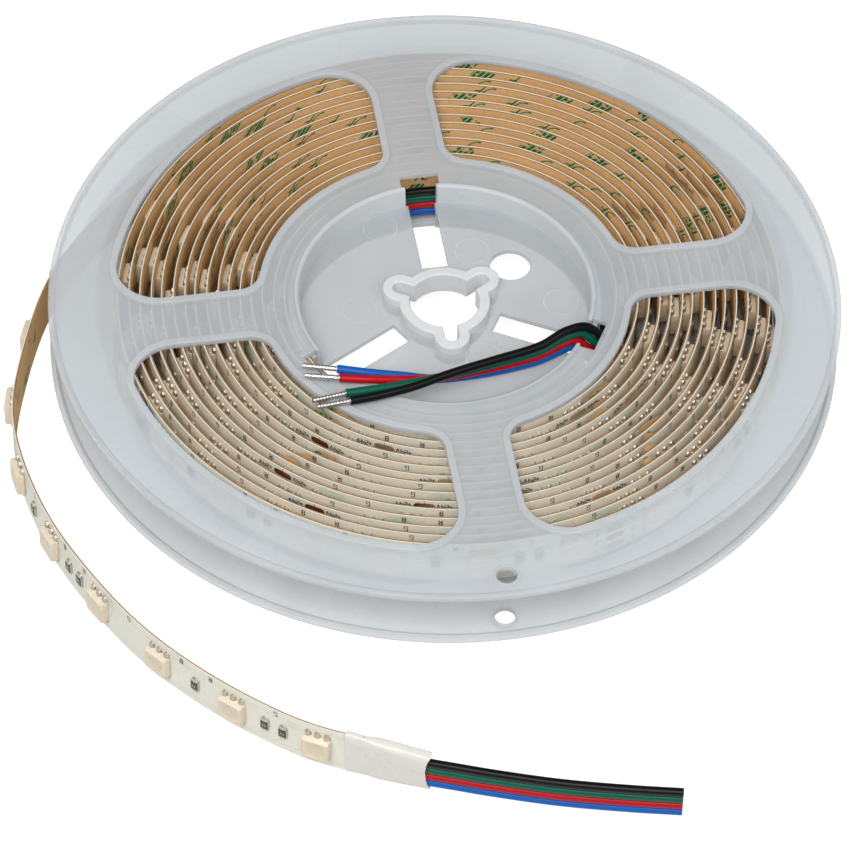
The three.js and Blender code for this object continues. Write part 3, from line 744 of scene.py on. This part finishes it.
def onStrip(lay, runs):
    # Plan points, outward directions and heights at running lengths
    def between(rows):
        return np.stack([np.interp(runs, lay["run"], rows[:, i]) for i in range(2)], -1)

    return between(lay["plan"]), unit(between(lay["out"])), np.interp(runs, lay["run"], lay["height"])


def addSwept(solid, lay, runs, sections):
    # Closed clockwise sections of (outward, up) points, one at each running length. Returns the running
    # length and height of each face's corners.
    rings = []
    for p, o, z, section in zip(*onStrip(lay, runs), sections):
        rings.append([(p[0] + u * o[0], p[1] + u * o[1], z + v) for u, v in section])
    columns = len(sections[0])
    faces = [face[::-1] for face in tubeFaces(len(rings), columns)]
    solid.add(np.array(rings).reshape(-1, 3), faces)
    return [(runs[i // columns], sections[0][i % columns][1]) for face in faces for i in face]


def setOnStrip(lay, runs, rise=0.0):
    # Matrices that carry a small part from its own frame onto the strip's outer face
    up = np.array([0, 0, 1.0])
    matrices = []
    for p, o, z in zip(*onStrip(lay, np.asarray(runs, float))):
        outward = np.array([*o, 0])
        foot = np.array([*p, z + STRIP["width"] / 2]) + outward * (STRIP["thickness"] + rise)
        matrices.append((np.stack([np.cross(up, outward), up, outward], 1), foot))
    return matrices


def boxPart(halfX, halfY, bottom, top, ease):
    # A small block whose outer end is drawn in, so that it catches the light
    points = []
    for cut, z in ((0, bottom), (0, top - ease), (ease, top)):
        x, y = halfX - cut, halfY - cut
        points += [(-x, -y, z), (x, -y, z), (x, y, z), (-x, y, z)]
    return points, tubeFaces(3, 4)


def joinParts(parts):
    # Small parts, each with its material index, as one part's points, faces and kinds
    whole = Solid()
    for (points, faces), kind in parts:
        whole.add(points, faces, kind)
    return np.vstack(whole.points), whole.faces, whole.kinds


def ledBody():
    # Square package with a drawn-in top edge and a round dish
    half, top, sides = LED["width"] / 2, LED["height"], LED["sides"]
    dish = top - LED["lensDepth"]
    around = polar(1, np.arange(sides) * 360 / sides)
    square = np.minimum(1 / np.abs(around).max(1), LED["corner"])
    reaches = (
        (square * half, 0), (square * half, top - LED["chamfer"]),
        (square * (half - LED["chamfer"] * 0.7), top), (np.full(sides, LED["lens"]), top),
        (np.full(sides, LED["lens"] - 0.3), dish), (np.full(sides, 0.8), dish),
    )
    rings = [lifted(around * reach[:, None], z) for reach, z in reaches]
    last = (len(rings) - 1) * sides
    faces = gridFaces(len(rings), sides)
    faces += [(last + j, last + (j + 1) % sides, last + sides) for j in range(sides)]
    faces.append(tuple(range(sides))[::-1])
    kinds = [0] * (4 * sides) + [1] * (2 * sides) + [0]
    return np.vstack([*rings, [[0, 0, dish]]]), faces, kinds


def dome(cx, cy, rx, ry, height, count=8):
    # A small blob of solder
    angle = np.arange(count) * 360 / count
    rings = [(1, 0), (0.93, 0.55), (0.6, 0.9)]
    points = [(cx + rx * k * c, cy + ry * k * s, height * z) for k, z in rings for c, s in polar(1, angle)]
    faces = gridFaces(3, count) + [tuple(range(count))[::-1]]
    faces += [(2 * count + j, 2 * count + (j + 1) % count, 3 * count) for j in range(count)]
    return [*points, (cx, cy, height)], faces


def ledJoints():
    row, size = JOINT["row"], JOINT["size"]
    return joinParts([(dome(x, y, *size), 0) for x in JOINT["columns"] for y in (-row, row)])


def resistorPart():
    row, half = RESISTOR["jointRow"], RESISTOR["markHalf"]
    parts = [(boxPart(*RESISTOR["frame"]), 1), (boxPart(*RESISTOR["body"]), 0)]
    for x in RESISTOR["marks"]:
        parts.append((stroke((x, -half), (x, half), RESISTOR["markLine"], RESISTOR["markHeight"]), 1))
    parts += [(dome(0, y, *RESISTOR["joint"], 10), 1) for y in (row, -row)]
    return joinParts(parts)


def stroke(start, stop, width=PRINT["line"], z=PRINT["lift"]):
    along = unit(np.subtract(stop, start)) * width / 2
    side = np.array([-along[1], along[0]])
    a, b = start - along, stop + along
    return [(*point, z) for point in (a - side, b - side, b + side, a + side)], [(0, 1, 2, 3)]


# Strokes of each printed sign on a square of side 1
GLYPHS = {
    "R": [(0, 0, 0, 1), (0, 1, 0.6, 1), (0.6, 1, 0.6, 0.5), (0.6, 0.5, 0, 0.5), (0.25, 0.5, 0.65, 0)],
    "G": [(0.65, 1, 0, 1), (0, 1, 0, 0), (0, 0, 0.65, 0), (0.65, 0, 0.65, 0.45), (0.65, 0.45, 0.35, 0.45)],
    "B": [(0, 0, 0, 1), (0, 1, 0.55, 1), (0.55, 1, 0.55, 0), (0.55, 0, 0, 0), (0, 0.5, 0.55, 0.5)],
    "+": [(0.1, 0.5, 0.7, 0.5), (0.4, 0.2, 0.4, 0.8)],
    "2": [(0, 1, 0.6, 1), (0.6, 1, 0.6, 0.5), (0.6, 0.5, 0, 0.5), (0, 0.5, 0, 0), (0, 0, 0.6, 0)],
    "4": [(0, 1, 0, 0.4), (0, 0.4, 0.65, 0.4), (0.5, 1, 0.5, 0)],
    "V": [(0, 1, 0.33, 0), (0.33, 0, 0.66, 1)],
}


def writing(text, x, y, size):
    # Text whose middle is at x, y; it reads with the strip's other edge up
    parts = []
    for i, sign in enumerate(text):
        shift = (i - (len(text) - 1) / 2) * PRINT["advance"]
        for line in GLYPHS[sign]:
            across = [x - size * (shift + PRINT["narrow"] * (u - 0.3)) for u in line[::2]]
            up = [y - size * (v - 0.5) for v in line[1::2]]
            parts.append((stroke(*zip(across, up)), 0))
    return parts


def padPart():
    # Four long copper pads across the cutting line, with round ends
    reach, radius, lift = PAD["reach"], PAD["radius"], PAD["lift"]
    parts = []
    for y in PAD["rows"]:
        right = arc((reach, y), radius, -90, 90, 30)
        left = arc((-reach, y), radius, 90, 270, 30)
        oval = lifted(np.vstack([right, left]), lift)
        parts.append(((oval, [tuple(range(len(oval)))]), 0))
    return joinParts(parts)


def printPart(gap):
    # Black print in the gap after each LED: the cutting line with the pads' signs, or a sign or two
    half, parts = PRINT["cutHalf"], []
    if gap == STRIP["perSection"] - 1:
        parts.append((stroke((0, -half), (0, half), PRINT["cutLine"]), 0))
        for side in (-1, 1):
            for sign, y in PRINT["padSigns"]:
                parts += writing(sign, side * PRINT["padReach"], y, PRINT["padSize"])
        return joinParts(parts)
    for sign, x in PRINT["signs"][gap % 2]:
        parts += writing(sign, x, PRINT["row"], PRINT["size"])
    return joinParts(parts)


def addPuckers(lay, liner):
    # Flaps of the liner that stand off the tape at its upper edge, spread over the windows
    flaps, corners = Solid(), []
    steps, top = PUCKER["steps"], PUCKER["top"]

    def pick(key, share):
        least, more = PUCKER[key]
        return least + more * share

    for k in range(PUCKER["count"]):
        share, across = (k * 0.618) % 1, (k * 0.755) % 1
        long, tall, lift = pick("length", (k * 0.37) % 1), pick("height", across), pick("lift", share)
        angle = REEL["spokeAngle"] + 90 * (k % 4) + pick("fromSpoke", across)
        total = 360 * (1 + int(share * (STRIP["turns"] - 3))) + (angle - STRIP["startAngle"]) % 360
        middle = np.interp(total / 360 * STRIP["stepsPerTurn"], np.arange(len(lay["run"])), lay["run"])
        runs = middle + long * np.linspace(-0.5, 0.5, steps + 1)
        sections = []
        for i in range(steps + 1):
            # The flap leans inwards by lift * sin(pi t) ^ 0.7 * (share of its height) ^ 1.5
            bow = lift * math.sin(math.pi * i / steps) ** 0.7
            face = [(0.01 - bow * h**1.5, top - tall + tall * h + 0.2 * bow * h) for h in (0, 0.5, 1)]
            sections.append(face + [(u + PUCKER["paper"], v) for u, v in face[::-1]])
        corners += addSwept(flaps, lay, runs, sections)
    flaps.build("liner_puckers", [liner], "strip", sharp=60, corners=corners)


def addCopies(name, places, part, materials, slotName, nodes=()):
    solid = Solid()
    solid.copies(places, *part)
    solid.build(name, materials, slotName, nodes)


def addStrip():
    lay = layStrip()
    end = lay["run"][-1] - STRIP["sleeve"] + STRIP["grip"]
    inside = lay["run"][(lay["run"] > 0.1) & (lay["run"] < end - 0.1)]
    stations = np.concatenate([[0], inside, [end]])
    paper, full, wide = STRIP["liner"], STRIP["thickness"], STRIP["width"]
    # The tape's edge is dark brown, painted shade of the gap between turns
    edge = matte("tape_edge_gap_shade", (0.30, 0.17, 0.08), (0.18, 0.095, 0.045), 900, 0.7)
    # Each layer lies between two depths and keeps a margin from the strip's edges
    layers = (
        ("strip_liner", 0, paper, 0.04, linerPaper("kraft_liner"), []),
        ("strip_tape", paper, paper + STRIP["tape"], 0.1, edge, []),
        ("strip_board", paper + STRIP["tape"], full, 0, boardMask(), ["led_strip"]),
    )
    for name, inner, outer, margin, material, nodes in layers:
        section = [(inner, margin), (inner, wide - margin), (outer, wide - margin), (outer, margin)]
        layer = Solid()
        corners = addSwept(layer, lay, stations, [section] * len(stations))
        layer.build(name, [material], "strip", nodes, corners=corners)
    # The flaps get a darker copy of the liner paper: painted shade
    addPuckers(lay, linerPaper("kraft_fold_painted_shade", PUCKER["shade"]))
    cream = matte("led_package", (0.82, 0.725, 0.575), (0.76, 0.655, 0.495), 700, 0.42)
    # The dish is a darker cream, partly the lens's own tone and partly painted shade so that its round shows
    dish = matte("led_dish", (0.76, 0.66, 0.50), (0.70, 0.60, 0.44), 700, 0.3)
    solder = metal("solder", (0.60, 0.55, 0.47), 0.42, 0.85)
    chip = matte("resistor_body", (0.020, 0.018, 0.016), (0.035, 0.03, 0.027), 900, 0.35)
    ink = matte("print_ink", (0.03, 0.03, 0.03), (0.06, 0.06, 0.06), 2000, 0.6)
    count = int((end - STRIP["innerMargin"]) / STRIP["ledPitch"])
    runs = end - STRIP["ledPitch"] * (np.arange(count) + 0.5)
    gaps = runs - STRIP["ledPitch"] / 2
    loose, section = STRIP["loose"], STRIP["perSection"]
    body = ledBody()
    places = setOnStrip(lay, runs, LED["seat"])
    addCopies("rolled_leds", places[loose:], body, [cream, dish], "led")
    for i in range(loose):
        addCopies(f"loose_led_{i + 1}", places[i : i + 1], body, [cream, dish], "led", [f"led_{i + 1}"])
    addCopies("solder_joints", setOnStrip(lay, runs), ledJoints(), [solder], "tin")
    number, rolled, chipPart = 0, [], resistorPart()
    for gap in range(count - 1):
        # Two resistors, one and none in turn
        for shift in (RESISTOR["pair"], (0.0,), ())[gap % 3]:
            places = setOnStrip(lay, [gaps[gap] + shift], RESISTOR["seat"])
            if gap >= loose - 1:
                rolled += places
                continue
            number += 1
            name, node = f"loose_resistor_{number}", f"resistor_{number}"
            addCopies(name, places, chipPart, [chip, solder], "resistor", [node])
    addCopies("rolled_resistors", rolled, chipPart, [chip, solder], "resistor")
    pads, prints = Solid(), Solid()
    for kind in range(section):
        places = setOnStrip(lay, gaps[kind : count - 1 : section])
        prints.copies(places, *printPart(kind))
        if kind == section - 1:
            pads.copies(places, *padPart())
    pads.build("cut_pads", [padCopper()], "tin")
    prints.build("board_print", [ink], "resistor")
    addSleeve(lay)


def addSleeve(lay):
    # Heat-shrink over the joint: flat over the board, then closing round the leads, thin-walled at its ends
    angle = np.arange(SLEEVE["sides"]) * 2 * math.pi / SLEEVE["sides"]
    c, s = np.cos(angle), np.sin(angle)
    wall, mouth, depth = SLEEVE["wall"], SLEEVE["mouthWall"], SLEEVE["mouthDepth"]
    shares = np.linspace(0, 1, SLEEVE["stations"])
    stations = [(depth, wall), (0, mouth), *((share, 0) for share in shares), (1, mouth), (1 - depth, wall)]
    rings = []
    for share, thin in stations:
        swollen = min(1, max(0, share / SLEEVE["swellStart"] - 1))
        swell = 0.5 - 0.5 * math.cos(math.pi * swollen)
        thick = SLEEVE["thick"] + SLEEVE["swell"] * swell - thin
        top, bottom = (a + b * swell - k * share for a, b, k in (SLEEVE["top"], SLEEVE["bottom"]))
        # A rounded oblong, |c| ^ 0.42 by |s| ^ 0.34, with faint ridges
        u = thick * np.sign(c) * np.abs(c) ** 0.42 * (1 + 0.03 * np.sin(5 * s + 9 * share))
        u = u + SLEEVE["lean"] * (1 - swell)
        rise = np.sign(s) * np.abs(s) ** 0.34
        v = rise * (np.where(s > 0, top, bottom) - thin)
        # The cut end is drawn back at its middle
        drawn = SLEEVE["drawn"] * max(0, share - SLEEVE["drawnStart"]) / (1 - SLEEVE["drawnStart"])
        runs = lay["run"][-1] - STRIP["sleeve"] * (1 - share) - drawn * (1 - rise**2)
        plan, out, height = onStrip(lay, runs)
        rings.append(np.column_stack([plan + u[:, None] * out, height + STRIP["width"] / 2 + v]))
    sleeve = Solid()
    sleeve.grid(rings[::-1], ends="open")
    white = matte("shrink_sleeve", (0.78, 0.76, 0.70), (0.73, 0.71, 0.65), 300, 0.3, 0.12)
    sleeve.build("joint_sleeve", [white], "sleeve", ["outer_sleeve"], sharp=60)


def windowLoop(grow):
    side, inner, outer = REEL["spokeWidth"] / 2 - grow, REEL["windowInner"] - grow, REEL["windowOuter"] + grow
    small, large = REEL["filletInner"] + grow, REEL["filletOuter"] + grow
    outerCentre = (math.sqrt((outer - large) ** 2 - (side + large) ** 2), side + large)
    innerCentre = (math.sqrt((inner + small) ** 2 - (side + small) ** 2), side + small)
    outerAngle = math.degrees(math.atan2(outerCentre[1], outerCentre[0]))
    innerAngle = math.degrees(math.atan2(innerCentre[1], innerCentre[0]))
    half = np.vstack([
        arc((0, 0), inner, 45, innerAngle)[:-1],
        arc(innerCentre, small, innerAngle + 180, 270, 8)[:-1],
        arc(outerCentre, large, -90, outerAngle, 6),
        arc((0, 0), outer, outerAngle, 45)[1:],
    ])
    return np.vstack([half, half[1:-1][::-1, ::-1]])


def notchedRing(radius, width, reach):
    # A circle with a square notch outwards, or inwards, at each slot
    loop = []
    half = math.degrees(math.asin(width / 2 / radius))
    for angle in slotAngles[::-1]:
        near = radius * math.cos(math.radians(half))
        corners = [(near, width / 2), (reach, width / 2), (reach, -width / 2), (near, -width / 2)]
        loop.append(turned(corners, angle))
        loop.append(arc((0, 0), radius, angle - half, angle - 120 + half)[1:-1])
    return np.vstack(loop)


def keyedLoop(grow):
    radius, half = HUB["bore"] + grow, HUB["keyWidth"] / 2 + grow
    tip = HUB["keyTip"] - HUB["keyWidth"] / 2
    mouth = math.degrees(math.asin(half / radius))
    loop = []
    for k in range(3):
        angle = HUB["keyAngle"] + 120 * k
        loop.append(arc(polar(tip, angle), half, angle - 90, angle + 90, 12))
        loop.append(arc((0, 0), radius, angle + mouth, angle + 120 - mouth, 4))
    return np.vstack(loop)


def flangeForms(solid, opening, low, sign):
    # Web, rim bead and lips; low is the inner face's height and sign the way to the outer face
    def between(a, b):
        return tuple(sorted((low + sign * a, low + sign * b)))

    x, y, radius = REEL["rimHole"]
    width, web, full = REEL["rimWidth"], REEL["web"], REEL["web"] + REEL["lip"]
    windows = [turned(windowLoop(0), angle) for angle in spokeAngles]
    outline = circle(0, 0, REEL["radius"] - width * 0.6, 240)
    solid.plate([outline, opening, circle(x, y, radius, 24), *windows], *between(0, web), REEL["bevel"])
    # Section of the bead: rounded outer edges, then eased inner ones
    round_, diagonal = REEL["beadRound"]
    bead = [(-width, 0), (-round_, 0), (-diagonal, diagonal), (0, round_), (0, full - round_)]
    bead += [(-diagonal, full - diagonal), (-round_, full), (-width + 0.25, full), (-width, full - 0.25)]
    rim = [lifted(circle(0, 0, REEL["radius"] + du, 240), low + sign * dz) for du, dz in bead]
    solid.grid(rim if sign > 0 else rim[::-1], kind=1, ends="joined")
    lip = between(REEL["lipFoot"], full)
    for angle in spokeAngles:
        loops = [turned(windowLoop(grow), angle) for grow in (REEL["lipWidth"], 0.02)]
        solid.plate(loops, *lip, REEL["lipBevel"], kind=1)
    hole = [circle(x, y, radius + REEL["holeLip"], 24), circle(x, y, radius + 0.01, 24)]
    solid.plate(hole, *lip, 0.1, kind=1)


def wallSegments(solid, profile, width, kind=0):
    # A revolved wall interrupted at each slot
    radius = min(r for r, _ in profile)
    half = math.degrees(math.asin(width / 2 / radius))
    for angle in slotAngles:
        stations = np.linspace(angle + half, angle + 120 - half, 60)
        solid.grid([[(*polar(r, station), z) for r, z in profile] for station in stations], kind)


def addReel():
    clear = flangePlastic("reel_plastic", *PLASTIC["flange"])
    # Lighter copies of the plastic paint light on lips, rim bead, cup wall and collar; a darker one paints
    # shade on the hub floor
    names = ("edge", "wall", "collar", "plain")
    edge, wall, collar, plain = (edgePlastic(f"{name}_plastic", *PLASTIC[name]) for name in names)
    hubPlastic = floorPlastic("hub_plastic", *PLASTIC["hub"])
    low = REEL["web"] + REEL["lip"] + REEL["gap"]
    webTop = low + REEL["web"]
    upper = Solid()
    flangeForms(upper, notchedRing(HUB["plug"] - 0.1, HUB["notchWidth"], HUB["notchRadius"]), low, 1)
    recess, plug = HUB["recess"], HUB["plug"]
    mouth = recess + HUB["draft"]
    cup = [
        (recess, HUB["floorBottom"]), (recess, HUB["floorTop"]),
        (recess + 0.05, HUB["floorTop"] + 0.3), (mouth, webTop - 0.5),
        (mouth + 0.15, webTop - 0.15), (mouth + 0.5, webTop), (plug + 0.05, webTop),
        (plug + 0.05, low), (plug, low - 0.2), (plug, HUB["floorBottom"] + 0.3),
        (plug - 0.3, HUB["floorBottom"]),
    ]
    wallSegments(upper, cup, HUB["wallSlot"], kind=2)
    upper.build("upper_moulding", [clear, edge, wall], "upper_plastic", ["upper_reel_half"], sharp=50)
    hub = Solid()
    floorLoop = notchedRing(recess + 0.1, HUB["slotWidth"], HUB["slotInner"])
    loops = [floorLoop, keyedLoop(0.9), circle(*HUB["floorHole"])]
    hub.plate(loops, HUB["floorBottom"], HUB["floorTop"], REEL["bevel"])
    loops = [keyedLoop(HUB["collarWall"]), keyedLoop(0)]
    hub.plate(loops, HUB["collarBottom"], HUB["collarTop"], HUB["collarBevel"], kind=1)
    hub.build("hub_moulding", [hubPlastic, collar], "upper_plastic", sharp=50)
    lower = Solid()
    inner, outer, foot = HUB["drumInner"], HUB["drumOuter"], HUB["drumFoot"]
    flangeForms(lower, circle(0, 0, inner + 0.4, 180), REEL["web"] + REEL["lip"], -1)
    drumTop = low - HUB["drumGap"]
    drum = [(inner, foot), (inner, drumTop), (outer, drumTop), (outer, foot)]
    wallSegments(lower, drum, HUB["wallSlot"])
    lower.build("lower_moulding", [plain, edge], "lower_plastic", ["lower_reel_half"], sharp=50)


addCamera()
addLeads()
print("leads done")
addStage()
addStrip()
print("strip done")
addReel()
print("reel done")
